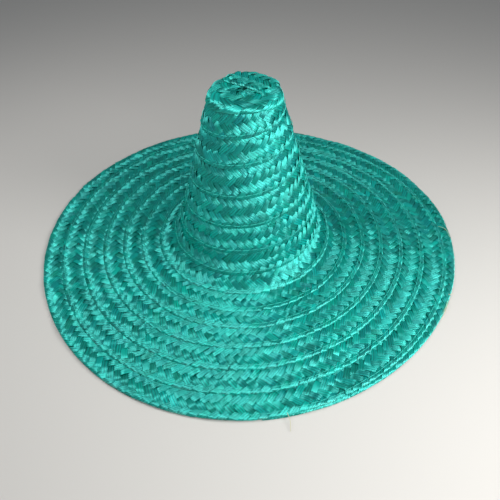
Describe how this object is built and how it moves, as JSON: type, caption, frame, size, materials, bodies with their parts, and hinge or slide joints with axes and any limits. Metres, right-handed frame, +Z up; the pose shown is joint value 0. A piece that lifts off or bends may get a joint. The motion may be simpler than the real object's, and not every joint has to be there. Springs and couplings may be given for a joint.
{
  "type": "green woven palm straw sombrero",
  "caption": "Wide-brimmed sombrero with a tall tapering crown, sewn in a spiral from one flat plaited braid of green dyed palm straw.",
  "frame": {"origin": "on the surface that the brim rests on, under the middle of the hat's outline", "axes": "+Z up through the crown, front of the hat towards -Y, +X to the right as the picture shows it"},
  "size_m": [0.523, 0.513, 0.209],
  "materials": {
    "straw_tip": "dyed palm straw braid, satin sheen along the strands",
    "straw_crown": "dyed palm straw braid, satin sheen along the strands",
    "straw_brim": "dyed palm straw braid, satin sheen along the strands"
  },
  "bodies": {
    "root": {"crown_tip": "straw_tip", "crown": "straw_crown", "brim": "straw_brim"}
  },
  "joints": []
}
